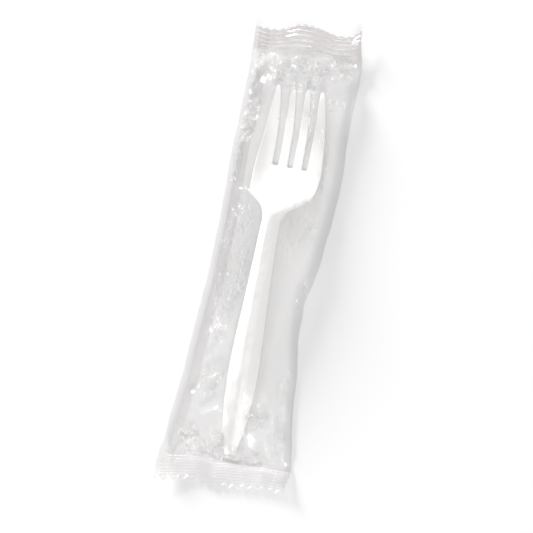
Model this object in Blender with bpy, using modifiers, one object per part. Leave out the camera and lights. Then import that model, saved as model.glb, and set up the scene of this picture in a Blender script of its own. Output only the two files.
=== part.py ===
"""A white plastic fork, wrapped by itself in a clear film flow pack that lies on a table.

The pack lies along Y with the tines towards +Y, face up towards +Z. Lengths are in metres.
Inside this script Y starts at the bottom seal's cut edge, and the last step moves the whole pack
so that the middle of its underside is at the origin.
"""

import math

import bmesh
import bpy
import numpy as np
from mathutils import Vector

MM = 0.001

# Fork: outline, seen from above. Y is measured from the tail.
FORK_LENGTH = 154.0 * MM
HEAD_REACH = 55.5 * MM  # from the narrowest place of the neck to the tips
SHOULDER_REACH = 45.0 * MM  # from the end of the shoulder's curve to the tips
TINE_LENGTH = 32.5 * MM  # from the bottom of the slots to the tips
TAIL_TAPER = 33.0 * MM  # from the tail to the widest place of the handle
TAIL_WIDTH = 5.6 * MM
TAIL_CORNER = 1.6 * MM
HANDLE_WIDTH = 12.9 * MM
NECK_WIDTH = 8.0 * MM
HEAD_WIDTH = 29.0 * MM
HEAD_WIDEST = 34.5 * MM  # from the widest place of the head to the tips
TIP_SPAN = 20.6 * MM  # across the outer tines at their tips
SLOT_PITCH = 6.35 * MM
SLOT_WIDTH = 2.5 * MM
SLOT_CORNER = 0.8 * MM
SLOT_FLARE = 0.95 * MM  # how much each side of a slot opens towards the tips

# Fork: form, seen from the side and across.
WALL = 1.4 * MM
EDGE_ROUND = 0.3 * MM
HANDLE_CROWN = 2.6 * MM  # the handle's middle above its sides, at the widest place
TAIL_CROWN = 0.7 * MM
NECK_CROWN = 2.0 * MM
CROWN_FLAT = 0.18  # flat middle of the handle, as a share of the half width
CROWN_FOOT = 0.95  # where the handle's sloping side ends, likewise
BOWL_DEPTH = 2.3 * MM
TIP_DEPTH = 0.5 * MM
NECK_RISE = 11.3 * MM  # underside of the neck's sides above the table
WAIST_RISE = 4.9 * MM  # underside of the sides at the handle's widest place
TIP_RISE = 8.2 * MM  # underside of the outer tips
BOWL_REST = 34.0 * MM  # from the lowest place of the bowl to the tips

# Film pack.
FILM = 0.05 * MM
LAYER_GAP = 0.07 * MM  # between layers that are welded on the real pack
FORK_CLEARANCE = 0.35 * MM  # between the fork and the film that it lies on
TENT_CLEARANCE = 0.7 * MM  # between the fork's highest places and the film over them
BOTTOM_SEAL = 10.0 * MM
TOP_SEAL = 9.0 * MM
TAIL_ROOM = 3.4 * MM  # from the bottom seal to the fork's tail
TIP_ROOM = 14.6 * MM  # from the fork's tips to the top seal
FORK_OFFSET = 0.65 * MM  # the tail lies this far right of the middle line
FORK_TURN = math.radians(-0.76)
LEFT_ROOM = 9.2 * MM  # from the head's left side to the left fold
RIGHT_ROOM = 7.2 * MM
SEAL_SPREAD = 5.3 * MM  # how much further each fold lies at the bottom seal
WAIST_DRAW = 4.8 * MM  # how far the right fold is drawn in beside the handle
FIN_WIDTH = 5.2 * MM
FIN_INSET = 1.0 * MM  # from the left fold to the fin's free edge
FOLD_HEIGHT = 1.5 * MM  # of the rounded side folds, halfway along
RIDGE_HALF = 2.8 * MM  # half the width of film that lies on the handle's middle
SPAN_SAG = 0.9 * MM  # of the film between the neck and the tips
TOOTH_PITCH = 3.9 * MM
TOOTH_DEPTH = 1.7 * MM
CRIMP_PITCH = 2.6 * MM
CRIMP_HEIGHT = 0.22 * MM
TOP_CURL = 5.2 * MM  # how far the top edge stands up
BOTTOM_CURL = 1.8 * MM  # how far the bottom edge stands up
CORNER_LIFT = 1.3 * MM  # of the bottom seal's corners
SEAL_WAVE = 0.7 * MM
GATHER_HEIGHT = 1.4 * MM
GATHER_PITCH = 8.5 * MM
CREASE_ANGLE = 9.0  # degrees; film that bends by more than this keeps a sharp crease

Y_TAIL = BOTTOM_SEAL + TAIL_ROOM
PACK_LENGTH = Y_TAIL + FORK_LENGTH + TIP_ROOM + TOP_SEAL
LAYER = FILM + LAYER_GAP
FORK_BASE = FILM + FORK_CLEARANCE


def smooth_through(knots, y):
    """A monotone cubic through (place, value) knots, level outside them."""
    places, values = np.array(knots, float).T
    gaps = np.diff(places)
    slopes = np.diff(values) / gaps
    tangents = np.zeros(len(places))
    for i in range(1, len(places) - 1):
        before, after = slopes[i - 1], slopes[i]
        if before * after > 0:
            tangents[i] = 2 * before * after / (before + after)
    y = min(max(y, places[0]), places[-1])
    i = int(min(max(np.searchsorted(places, y) - 1, 0), len(gaps) - 1))
    t = (y - places[i]) / gaps[i]
    start = (1 + 2 * t) * (1 - t) ** 2 * values[i] + t * (1 - t) ** 2 * gaps[i] * tangents[i]
    end = t * t * (3 - 2 * t) * values[i + 1] + t * t * (t - 1) * gaps[i] * tangents[i + 1]
    return float(start + end)


def between(low, high, share):
    return low + share * (high - low)


def ramp(value, low, high):
    """0 below low, 1 above high, and smooth between."""
    t = min(max((value - low) / (high - low), 0.0), 1.0)
    return t * t * (3 - 2 * t)


# Fork

Y_NECK = FORK_LENGTH - HEAD_REACH
Y_CREST = 0.965 * Y_NECK  # the highest place of the fork, just before the neck
Y_SHOULDER = FORK_LENGTH - SHOULDER_REACH
Y_WIDEST = FORK_LENGTH - HEAD_WIDEST
Y_ROOT = FORK_LENGTH - TINE_LENGTH
Y_REST = FORK_LENGTH - BOWL_REST


def half_width(y):
    """Half of the fork's width at y, tines and slots together."""
    tail, waist, neck, head = TAIL_WIDTH / 2, HANDLE_WIDTH / 2, NECK_WIDTH / 2, HEAD_WIDTH / 2
    body = [
        (0.0, tail),
        (0.26 * TAIL_TAPER, between(tail, waist, 0.40)),
        (0.65 * TAIL_TAPER, between(tail, waist, 0.86)),
        (TAIL_TAPER, waist),
        (between(TAIL_TAPER, Y_NECK, 0.5), between(waist, neck, 0.54)),
        (Y_NECK, neck),
        (between(Y_NECK, Y_SHOULDER, 0.45), between(neck, head, 0.18)),
        (between(Y_NECK, Y_SHOULDER, 0.8), between(neck, head, 0.62)),
        (Y_SHOULDER, between(neck, head, 0.88)),
        (Y_WIDEST, head),
    ]
    if y <= Y_WIDEST:
        return smooth_through(body, y)
    t = min((y - Y_WIDEST) / HEAD_WIDEST, 1.0)
    return between(head, TIP_SPAN / 2, t**1.35)


def slot_half(y):
    t = min(max((y - Y_ROOT) / TINE_LENGTH, 0.0), 1.0)
    return SLOT_WIDTH / 2 + SLOT_FLARE * t**3


def arc(centre_x, centre_y, radius, start, end, steps):
    """Points on an arc between two angles in degrees."""
    angles = np.radians(np.linspace(start, end, steps + 1))
    return [(centre_x + radius * math.cos(a), centre_y + radius * math.sin(a)) for a in angles]


def fork_outline():
    """The fork's outline from above, anticlockwise, from the right corner of the tail."""
    corner = TAIL_CORNER
    right = arc(TAIL_WIDTH / 2 - corner, corner, corner, -90, -10, 3)
    handle = list(np.linspace(4 * corner, Y_NECK, 16))
    shoulder = list(np.linspace(Y_NECK, Y_WIDEST, 13)[1:])
    tip = (half_width(FORK_LENGTH) - SLOT_PITCH - slot_half(FORK_LENGTH)) / 2
    tine = list(np.linspace(Y_WIDEST, FORK_LENGTH - tip, 10)[1:])
    right += [(half_width(y), y) for y in handle + shoulder + tine]
    right += arc(half_width(FORK_LENGTH) - tip, FORK_LENGTH - tip, tip, 30, 150, 3)
    down = list(np.linspace(FORK_LENGTH - tip, Y_ROOT + 2 * SLOT_CORNER, 8))
    right += [(SLOT_PITCH + slot_half(y), y) for y in down]
    corner_x, corner_y = SLOT_WIDTH / 2 - SLOT_CORNER, Y_ROOT + SLOT_CORNER
    right += arc(SLOT_PITCH + corner_x, corner_y, SLOT_CORNER, -20, -90, 2)
    right += arc(SLOT_PITCH - corner_x, corner_y, SLOT_CORNER, -90, -160, 2)
    right += [(SLOT_PITCH - slot_half(y), y) for y in reversed(down)]
    inner = (SLOT_PITCH - 2 * slot_half(FORK_LENGTH)) / 2
    right += arc(SLOT_PITCH / 2, FORK_LENGTH - tip, inner, 30, 150, 3)
    right += [(slot_half(y), y) for y in down]
    right += arc(corner_x, corner_y, SLOT_CORNER, -20, -90, 2)
    left = [(-x, y) for x, y in reversed(right)]
    return right + left


def side_rise(y):
    """Height of the underside of the fork's two sides at y, above its lowest point."""
    knots = [
        (0.0, 0.0),
        (0.5 * TAIL_TAPER, 0.53 * WAIST_RISE),
        (TAIL_TAPER, WAIST_RISE),
        (between(TAIL_TAPER, Y_CREST, 0.22), between(WAIST_RISE, NECK_RISE, 0.27)),
        (between(TAIL_TAPER, Y_CREST, 0.71), between(WAIST_RISE, NECK_RISE, 0.77)),
        (Y_CREST, NECK_RISE),
        (Y_NECK, 0.99 * NECK_RISE),
        (between(Y_NECK, Y_SHOULDER, 0.62), 0.745 * NECK_RISE),
        (between(Y_SHOULDER, Y_REST, 0.36), between(BOWL_DEPTH, NECK_RISE, 0.18)),
        (Y_REST, BOWL_DEPTH),
        (between(Y_REST, FORK_LENGTH, 0.35), between(BOWL_DEPTH, TIP_RISE, 0.085)),
        (between(Y_REST, FORK_LENGTH, 0.7), between(BOWL_DEPTH, TIP_RISE, 0.49)),
        (FORK_LENGTH, TIP_RISE),
    ]
    return smooth_through(knots, y)


def crown_rise(y):
    """How far the middle stands above the sides: up along the handle, down in the bowl."""
    knots = [
        (0.0, TAIL_CROWN),
        (0.5 * TAIL_TAPER, between(TAIL_CROWN, HANDLE_CROWN, 0.47)),
        (TAIL_TAPER, HANDLE_CROWN),
        (Y_CREST, NECK_CROWN),
        (between(Y_NECK, Y_SHOULDER, 0.24), 0.5 * NECK_CROWN),
        (between(Y_NECK, Y_SHOULDER, 0.62), -0.09 * BOWL_DEPTH),
        (Y_SHOULDER, -0.65 * BOWL_DEPTH),
        (between(Y_SHOULDER, Y_REST, 0.36), -0.96 * BOWL_DEPTH),
        (Y_REST, -BOWL_DEPTH),
        (between(Y_REST, FORK_LENGTH, 0.35), -0.91 * BOWL_DEPTH),
        (between(Y_REST, FORK_LENGTH, 0.7), -between(BOWL_DEPTH, TIP_DEPTH, 0.61)),
        (FORK_LENGTH, -TIP_DEPTH),
    ]
    return smooth_through(knots, y)


def fork_rise(x, y):
    """How far the fork's underside at (x, y) lies above its lowest point."""
    share = min(abs(x) / half_width(y), 1.0)
    slope = min(max((share - CROWN_FLAT) / (CROWN_FOOT - CROWN_FLAT), 0.0), 1.0)
    bowl = share**2.4
    opening = ramp(y, Y_NECK, Y_SHOULDER)
    return side_rise(y) + crown_rise(y) * (1 - between(slope, bowl, opening))


def score(bm, start, end):
    """Cuts the faces between the two Y values along the upright plane through both points."""
    low, high = min(start[1], end[1]) - 1e-7, max(start[1], end[1]) + 1e-7
    faces = [f for f in bm.faces if all(low <= v.co.y <= high for v in f.verts)]
    near = set(faces) | {e for f in faces for e in f.edges} | {v for f in faces for v in f.verts}
    normal = Vector((end[1] - start[1], start[0] - end[0], 0)).normalized()
    bmesh.ops.bisect_plane(
        bm, geom=list(near), dist=1e-6, plane_co=(start[0], start[1], 0), plane_no=normal
    )


def cut_across(bm, y):
    every = list(bm.verts) + list(bm.edges) + list(bm.faces)
    bmesh.ops.bisect_plane(bm, geom=every, dist=1e-6, plane_co=(0, y, 0), plane_no=(0, 1, 0))


def plate_of(outline, thickness, edge):
    """A flat plate of this outline with rounded edges, as a bmesh, middle plane at z = 0."""
    curve = bpy.data.curves.new("fork_outline", "CURVE")
    curve.dimensions = "2D"
    curve.fill_mode = "BOTH"
    curve.extrude = thickness / 2 - edge
    curve.bevel_depth = edge
    curve.bevel_resolution = 0
    curve.offset = -edge
    spline = curve.splines.new("POLY")
    spline.points.add(len(outline) - 1)
    for point, (x, y) in zip(spline.points, outline):
        point.co = (x, y, 0, 1)
    spline.use_cyclic_u = True
    guide = bpy.data.objects.new("fork_outline", curve)
    bpy.context.scene.collection.objects.link(guide)
    graph = bpy.context.evaluated_depsgraph_get()
    mesh = bpy.data.meshes.new_from_object(guide.evaluated_get(graph))
    bm = bmesh.new()
    bm.from_mesh(mesh)
    bmesh.ops.remove_doubles(bm, verts=bm.verts, dist=1e-6)
    bmesh.ops.dissolve_limit(
        bm, angle_limit=math.radians(1), verts=bm.verts, edges=bm.edges, delimit={"NORMAL"}
    )
    bpy.data.meshes.remove(mesh)
    bpy.data.objects.remove(guide)
    bpy.data.curves.remove(curve)
    return bm


def make_fork():
    """A plate of the fork's outline, scored where it bends and then pressed into its form."""
    bm = plate_of(fork_outline(), WALL, EDGE_ROUND)
    stations = [TAIL_TAPER, 0.5 * (TAIL_TAPER + Y_NECK), Y_NECK, Y_SHOULDER, Y_WIDEST, Y_ROOT]
    for y in stations:
        cut_across(bm, y)
    for y0, y1 in zip([0.0] + stations[:3], stations[:4]):
        for share in (-CROWN_FOOT, -CROWN_FLAT, CROWN_FLAT, CROWN_FOOT):
            start = (share * half_width(y0), y0)
            end = (share * half_width(y1), y1)
            score(bm, start, end)
    for share in (-0.75, -0.5, -0.25, 0.25, 0.5, 0.75):
        x = share * HEAD_WIDTH / 2
        score(bm, (x, Y_SHOULDER), (x, Y_ROOT + 2 * SLOT_CORNER))
    for y in np.linspace(0, Y_NECK, 13)[1:-1]:
        cut_across(bm, y)
    for y in np.linspace(Y_NECK, Y_WIDEST, 11)[1:-1]:
        cut_across(bm, y)
    for y in np.linspace(Y_WIDEST, FORK_LENGTH, 13)[1:-1]:
        cut_across(bm, y)
    for vert in bm.verts:
        vert.co.z += WALL / 2 + fork_rise(vert.co.x, vert.co.y)
    bmesh.ops.triangulate(bm, faces=bm.faces)
    bmesh.ops.recalc_face_normals(bm, faces=bm.faces)
    mesh = bpy.data.meshes.new("fork")
    bm.to_mesh(mesh)
    bm.free()
    mesh.shade_smooth()
    mesh.set_sharp_from_angle(angle=math.radians(35))
    fork = bpy.data.objects.new("fork", mesh)
    fork.location = (FORK_OFFSET, Y_TAIL, FORK_BASE)
    fork.rotation_euler = (0, 0, FORK_TURN)
    return fork


# Film pack

Y_TIPS = Y_TAIL + FORK_LENGTH
Y_TOP_SEAL = PACK_LENGTH - TOP_SEAL


def fork_middle(y):
    """X of the fork's middle line at the pack's y."""
    return FORK_OFFSET - math.tan(FORK_TURN) * (y - Y_TAIL)


def left_fold(y):
    """X of the left fold's outer side."""
    reach = HEAD_WIDTH / 2 + LEFT_ROOM
    knots = [
        (0.0, reach + 0.9 * SEAL_SPREAD),
        (BOTTOM_SEAL, reach + SEAL_SPREAD),
        (0.16 * PACK_LENGTH, reach + 0.6 * SEAL_SPREAD),
        (0.31 * PACK_LENGTH, reach + 0.25 * SEAL_SPREAD),
        (0.52 * PACK_LENGTH, reach - 0.1 * SEAL_SPREAD),
        (0.74 * PACK_LENGTH, reach),
        (PACK_LENGTH, reach - 0.15 * SEAL_SPREAD),
    ]
    return -smooth_through(knots, y)


def right_fold(y):
    """X of the right fold's outer side, drawn in beside the handle."""
    reach = HEAD_WIDTH / 2 + fork_middle(Y_TIPS) + RIGHT_ROOM
    knots = [
        (0.0, reach + 0.6 * SEAL_SPREAD),
        (BOTTOM_SEAL, reach + 0.6 * SEAL_SPREAD),
        (0.16 * PACK_LENGTH, reach),
        (0.26 * PACK_LENGTH, reach - 0.45 * WAIST_DRAW),
        (0.36 * PACK_LENGTH, reach - 0.98 * WAIST_DRAW),
        (0.42 * PACK_LENGTH, reach - 1.02 * WAIST_DRAW),
        (0.47 * PACK_LENGTH, reach - 0.67 * WAIST_DRAW),
        (0.53 * PACK_LENGTH, reach - 0.3 * WAIST_DRAW),
        (0.7 * PACK_LENGTH, reach + 0.06 * WAIST_DRAW),
        (0.84 * PACK_LENGTH, reach - 0.18 * WAIST_DRAW),
        (0.94 * PACK_LENGTH, reach),
        (PACK_LENGTH, reach - 0.45 * WAIST_DRAW),
    ]
    return smooth_through(knots, y)


def seal_share(y):
    """1 inside an end seal and 0 in the pouch between them."""
    bottom = 1 - ramp(y, BOTTOM_SEAL, BOTTOM_SEAL + 3 * MM)
    top = ramp(y, Y_TOP_SEAL - 3 * MM, Y_TOP_SEAL)
    return max(bottom, top)


def carrier(x, y):
    """How far all the layers together are lifted off the table: curled and wavy end seals."""
    side = x / (HEAD_WIDTH / 2 + LEFT_ROOM)
    curl = TOP_CURL * ramp(y, Y_TOP_SEAL - 14 * MM, PACK_LENGTH + 6 * MM)
    wave = SEAL_WAVE * (1 + math.sin(5.2 * side + 0.6)) * ramp(y, Y_TOP_SEAL - 8 * MM, PACK_LENGTH)
    corners = CORNER_LIFT * abs(side) ** 3 * (1 - ramp(y, 0, BOTTOM_SEAL + 8 * MM))
    ripple = 0.4 * SEAL_WAVE * (1 + math.sin(4.1 * side - 0.8)) * (1 - ramp(y, 0, BOTTOM_SEAL + 5 * MM))
    rise = BOTTOM_CURL * (1 - ramp(y, -4 * MM, BOTTOM_SEAL + 6 * MM))
    return curl + wave + corners + ripple + rise


def drape_height(y):
    """Top of the film over the fork's middle line at y."""
    def over(y_fork):
        top = side_rise(y_fork) + max(crown_rise(y_fork), 0.0)
        return FORK_BASE + top + WALL + TENT_CLEARANCE

    local = y - Y_TAIL
    if local <= 0:
        share = max((y - BOTTOM_SEAL) / TAIL_ROOM, 0.0)
        return over(0.0) * share
    if local >= FORK_LENGTH:
        share = max((Y_TOP_SEAL - y) / TIP_ROOM, 0.0)
        return over(FORK_LENGTH) * share**1.2
    if local <= Y_CREST:
        return over(local)
    share = (local - Y_CREST) / (FORK_LENGTH - Y_CREST)
    span = between(over(Y_CREST), over(FORK_LENGTH), share)
    return span - 4 * SPAN_SAG * share * (1 - share)


def shelf_half(y):
    """Half the width of film held up at full height: narrow on the handle, wide at the tips."""
    local = y - Y_TAIL
    tail = ramp(local, -TAIL_ROOM, 0.0)
    head = max(local - Y_CREST, 0.0) / (FORK_LENGTH - Y_CREST)
    return RIDGE_HALF * tail + (TIP_SPAN / 2 - RIDGE_HALF) * min(head, 1.0)


def side_top(y):
    """How far from the fork's middle line its side pushes at the film, and the film's height there."""
    local = min(max(y - Y_TAIL, 0.0), FORK_LENGTH)
    reach = max(half_width(local) + TENT_CLEARANCE, shelf_half(y) + 2 * TENT_CLEARANCE)
    height = FORK_BASE + side_rise(local) + WALL + TENT_CLEARANCE
    return reach, min(height, drape_height(y))


# The sharp folds that the film keeps: start, end, height and width of each, in millimetres,
# with Y from the bottom seal's cut edge.
CREASES = [
    (-16.8, 35.5, -9.8, 46.5, 2.0, 3.2),
    (-20.0, 36.5, -15.8, 27.5, 1.0, 2.8),
    (-15.0, 26.8, -4.8, 32.0, 1.4, 2.8),
    (-22.0, 10.5, -13.3, 17.0, 1.2, 3.0),
    (-19.0, 61.0, -8.0, 64.0, 1.4, 3.0),
    (-17.0, 49.0, -12.0, 58.0, -0.9, 2.8),
    (6.0, 25.0, 13.5, 28.5, 1.2, 2.8),
    (6.5, 30.5, 15.0, 36.0, 1.3, 2.8),
    (13.0, 43.0, 24.5, 11.0, 1.2, 3.4),
    (16.0, 88.0, 20.0, 71.0, 1.0, 3.0),
    (-10.5, 166.0, -6.2, 180.0, 1.6, 3.0),
    (4.8, 167.0, 4.2, 179.0, 1.6, 3.0),
    (7.0, 180.0, 20.5, 188.0, 1.2, 3.0),
    (-20.5, 141.0, -15.5, 158.0, 1.2, 3.0),
    (-21.5, 164.0, -16.0, 177.0, 1.2, 3.0),
    (13.5, 165.0, 20.5, 176.0, 1.2, 3.2),
    (17.0, 110.0, 19.5, 130.0, 0.8, 3.2),
    (-19.0, 84.0, -16.5, 116.0, 0.8, 3.2),
]


def crease_height(x, y):
    total = 0.0
    for x0, y0, x1, y1, height, width in CREASES:
        start, end = Vector((x0, y0)) * MM, Vector((x1, y1)) * MM
        along = end - start
        place = Vector((x, y)) - start
        t = min(max(place.dot(along) / along.length_squared, 0.0), 1.0)
        away = (place - t * along).length / (width * MM)
        if away < 1:
            total += height * MM * (1 - away) * (1 - (2 * t - 1) ** 4)
    return total


def gather_height(x, y):
    """Pleats that run into the end seals, where the tube is pressed flat."""
    bottom = 0.6 * (1 - ramp(y, BOTTOM_SEAL, BOTTOM_SEAL + 22 * MM))
    top = ramp(y, Y_TOP_SEAL - 26 * MM, Y_TOP_SEAL)
    phase = 2 * math.pi * x / GATHER_PITCH
    return GATHER_HEIGHT * (bottom + top) * (0.5 + 0.5 * math.sin(phase + 0.12 * y / MM))


def edge_height(y):
    """Height of the rounded side folds at y: pressed flat in the seals."""
    flat = 3 * LAYER
    return flat + (FOLD_HEIGHT - flat) * (1 - seal_share(y))


def tent_height(x, y):
    """Height of the upper film above the lower film at (x, y)."""
    flat = 3 * LAYER
    seal = seal_share(y)
    edge = edge_height(y)
    middle = fork_middle(y)
    shelf = shelf_half(y)
    reach, side = side_top(y)
    fold = right_fold(y) if x > middle else left_fold(y)
    away, width = abs(x - middle), abs(fold - middle)
    share = min(max((away - shelf) / (width - shelf), 0.0), 1.0)
    beyond = min(max((away - reach) / (width - reach), 0.0), 1.0)
    top = max(drape_height(y) - edge, 0.0) * (1 - share) ** 1.1
    top = max(top, max(side - edge, 0.0) * (1 - beyond) ** 1.1)
    soft = (crease_height(x, y) + gather_height(x, y)) * (1 - seal)
    past_fork = max(ramp(y, Y_TIPS, Y_TIPS + 4 * MM), 1 - ramp(y, BOTTOM_SEAL, Y_TAIL))
    room = min(3 * (1 - share), 1.0) * max(ramp(share, 0.0, 0.12), past_fork)
    tent = edge + top + max(soft * room, -0.5 * top)
    return flat + (max(tent, flat) - flat) * (1 - seal)


def seal_ridge(y):
    """The crimped seals' ridges, which all the layers share."""
    turn = abs((y / CRIMP_PITCH) % 1.0 - 0.5) * 2
    return CRIMP_HEIGHT * turn * seal_share(y)


def rows_along():
    """Y of the film's rows: close in the seals and at the creased ends."""
    step = CRIMP_PITCH / 2
    over = 2 * TOOTH_DEPTH
    bottom = np.arange(-3 * step, BOTTOM_SEAL + 0.5 * step, step)
    top = np.arange(step * math.ceil(Y_TOP_SEAL / step), PACK_LENGTH + over + step, step)
    waist = Y_TAIL + 1.5 * TAIL_TAPER
    handle = np.linspace(Y_TAIL, waist, 12)[:-1]
    neck = np.linspace(waist, Y_TAIL + Y_CREST, 7)[:-1]
    head = np.linspace(Y_TAIL + Y_CREST, Y_TIPS, 12)[:-1]
    end = np.linspace(Y_TIPS, top[0], 6)[:-1]
    return np.concatenate([bottom, handle, neck, head, end, top])


def lines_across(y):
    """X of the lengthwise lines that every layer shares, from the left fold to the right."""
    left = left_fold(y) + edge_height(y) / 2 - LAYER
    right = right_fold(y) - edge_height(y) / 2
    fin = [left, left + FIN_INSET, left + FIN_INSET + FIN_WIDTH / 2, left + FIN_INSET + FIN_WIDTH]
    shelf, reach, middle = shelf_half(y), side_top(y)[0], fork_middle(y)
    stops = [middle - reach, middle - shelf, middle + shelf, middle + reach, right]
    lines = list(fin)
    for stop, parts in zip(stops, (2, 2, 2, 2, 4)):
        lines += list(np.linspace(lines[-1], stop, parts + 1)[1:])
    even = fin + list(np.linspace(fin[3], right, len(lines) - 3)[1:])
    pouch = ramp(y, BOTTOM_SEAL, Y_TAIL + 12 * MM) * (1 - ramp(y, Y_TIPS, Y_TOP_SEAL))
    return np.array(even) * (1 - pouch) + np.array(lines) * pouch


def film_section(y):
    """The folded sheet's points at one row, from the fin's under edge round to its upper edge."""
    lines = lines_across(y)
    fin_lines = 4
    ridge = FILM / 2 + seal_ridge(y)

    def at(x, height):
        return (x, y, ridge + carrier(x, y) + height)

    under = [at(x, 0) for x in lines[1:]]
    right_bend = [at(right_fold(y), edge_height(y) / 2)]
    upper = [at(x, tent_height(x, y)) for x in reversed(lines)]
    left_bend = [at(left_fold(y), edge_height(y) / 2 + LAYER)]
    back = [at(x, 2 * LAYER) for x in lines[:fin_lines]]
    fin_root = [at(lines[fin_lines - 1] + LAYER / 2, 1.5 * LAYER)]
    fin = [at(x, LAYER) for x in reversed(lines[1:fin_lines])]
    return under + right_bend + upper + left_bend + back + fin_root + fin


def cut_line(x, ends_at_top):
    """Y of the cut edge without its teeth."""
    side = x / (HEAD_WIDTH / 2 + LEFT_ROOM)
    if ends_at_top:
        return PACK_LENGTH + (2.2 * math.cos(2.6 * side + 0.2) - 1.4) * MM
    return (1.6 * side + 0.8 * math.sin(3.0 * side + 1.9)) * MM + 0.4 * MM


def knife(name, at_top):
    """A block whose near side is the zigzag knife's edge."""
    reach = HEAD_WIDTH / 2 + LEFT_ROOM + 2 * SEAL_SPREAD
    count = 2 * math.ceil(reach / TOOTH_PITCH)
    edge = []
    for i in range(-count, count + 1):
        x = i * TOOTH_PITCH / 2
        tooth = TOOTH_DEPTH * (0.5 if i % 2 else -0.5)
        edge.append((x, cut_line(x, at_top) + tooth))
    beyond = (PACK_LENGTH + 30 * MM) if at_top else -30 * MM
    outline = edge + [(edge[-1][0], beyond), (edge[0][0], beyond)]
    bm = bmesh.new()
    face = bm.faces.new([bm.verts.new((x, y, -20 * MM)) for x, y in outline])
    grown = bmesh.ops.extrude_face_region(bm, geom=[face])["geom"]
    bmesh.ops.translate(
        bm, verts=[v for v in grown if isinstance(v, bmesh.types.BMVert)], vec=(0, 0, 60 * MM)
    )
    bmesh.ops.recalc_face_normals(bm, faces=bm.faces)
    mesh = bpy.data.meshes.new(name)
    bm.to_mesh(mesh)
    bm.free()
    block = bpy.data.objects.new(name, mesh)
    block.hide_render = True
    block.display_type = "WIRE"
    return block


def make_film_wrapper(knives):
    """One sheet, folded round the fork, given its thickness and cut off by the two knives."""
    rows = rows_along()
    sections = [film_section(y) for y in rows]
    columns = len(sections[0])
    bm = bmesh.new()
    grid = bmesh.ops.create_grid(bm, x_segments=columns - 1, y_segments=len(rows) - 1, size=0.5)
    for vert in grid["verts"]:
        column = round((vert.co.x + 0.5) * (columns - 1))
        row = round((vert.co.y + 0.5) * (len(rows) - 1))
        vert.co = sections[row][column]
    mesh = bpy.data.meshes.new("film_wrapper")
    bm.to_mesh(mesh)
    bm.free()
    mesh.shade_smooth()
    mesh.set_sharp_from_angle(angle=math.radians(CREASE_ANGLE))
    film = bpy.data.objects.new("film_wrapper", mesh)
    shell = film.modifiers.new("film_thickness", "SOLIDIFY")
    shell.thickness = FILM
    shell.offset = 0
    shell.use_even_offset = True
    for block in knives:
        cut = film.modifiers.new(block.name, "BOOLEAN")
        cut.operation = "DIFFERENCE"
        cut.object = block
    return film


def plastic(name, colour, roughness, transmission=0.0):
    material = bpy.data.materials.new(name)
    material.use_nodes = True
    shader = material.node_tree.nodes["Principled BSDF"]
    shader.inputs["Base Color"].default_value = (*colour, 1)
    shader.inputs["Roughness"].default_value = roughness
    shader.inputs["Metallic"].default_value = 0
    shader.inputs["IOR"].default_value = 1.49
    shader.inputs["Transmission Weight"].default_value = transmission
    return material


def main():
    for old in list(bpy.data.objects):
        bpy.data.objects.remove(old)
    pack = bpy.data.collections.new("wrapped_plastic_fork")
    cutters = bpy.data.collections.new("cutters")
    cutters.hide_render = True
    for collection in (pack, cutters):
        bpy.context.scene.collection.children.link(collection)

    knives = [knife("bottom_knife", False), knife("top_knife", True)]
    for block in knives:
        cutters.objects.link(block)
    film = make_film_wrapper(knives)
    fork = make_fork()
    film.data.materials.append(plastic("clear_film", (0.93, 0.92, 0.92), 0.12, 0.9))
    fork.data.materials.append(plastic("white_polypropylene", (0.92, 0.915, 0.905), 0.35))
    origin = bpy.data.objects.new("pack_origin", None)
    for thing in (film, fork, origin):
        pack.objects.link(thing)

    bpy.context.view_layer.update()
    graph = bpy.context.evaluated_depsgraph_get()
    box = np.array([corner[:] for corner in film.evaluated_get(graph).bound_box])
    low, high = box.min(axis=0), box.max(axis=0)
    for thing in [film, fork] + knives:
        thing.parent = origin
    origin.location = (-(low[0] + high[0]) / 2, -(low[1] + high[1]) / 2, -low[2])


main()
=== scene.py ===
# %% [markdown]
# # A plastic fork in its clear film pack
#
# The photograph shows a white single-use fork lying face up in a flow pack: a tube of thin clear film,
# welded flat and cut off with a zigzag knife at both ends. The part's CAD gives the sizes and the plain
# form. This lesson makes the two pieces again at a finer grain, because the look of such a pack comes
# from small things: the crimped seals, the pleats where the tube is pressed flat, and the many sharp
# creases that catch the light.
#
# All lengths are in millimetres until a mesh is made. X runs across the pack, Y along it towards the
# fork's tines, and Z up. Y starts at the bottom seal's cut edge, as in the CAD's own source.

# %%
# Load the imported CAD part
import math

import bmesh
import bpy
import numpy as np
from mathutils import Matrix, Vector


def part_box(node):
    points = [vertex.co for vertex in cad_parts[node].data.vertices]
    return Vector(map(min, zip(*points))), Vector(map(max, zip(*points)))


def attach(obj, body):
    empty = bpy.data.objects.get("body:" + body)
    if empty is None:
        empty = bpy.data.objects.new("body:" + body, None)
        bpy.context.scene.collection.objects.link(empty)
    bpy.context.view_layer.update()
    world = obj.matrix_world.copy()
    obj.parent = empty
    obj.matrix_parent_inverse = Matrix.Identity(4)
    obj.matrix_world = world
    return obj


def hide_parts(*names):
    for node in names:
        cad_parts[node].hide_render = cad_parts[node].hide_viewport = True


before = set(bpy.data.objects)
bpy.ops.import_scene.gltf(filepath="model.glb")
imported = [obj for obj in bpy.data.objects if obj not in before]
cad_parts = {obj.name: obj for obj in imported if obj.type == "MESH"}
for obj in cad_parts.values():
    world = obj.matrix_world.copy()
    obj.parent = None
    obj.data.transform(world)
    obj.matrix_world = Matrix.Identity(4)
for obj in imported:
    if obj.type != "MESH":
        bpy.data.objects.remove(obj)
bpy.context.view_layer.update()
print("CAD pieces:", sorted(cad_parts))

# %% [markdown]
# ## The sizes
#
# These are the CAD's own numbers. A fork of this kind is about 154 mm long, and it is 371 pixels long in
# the photograph, so one pixel is 0.415 mm. Everything else was measured with that scale.

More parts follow.
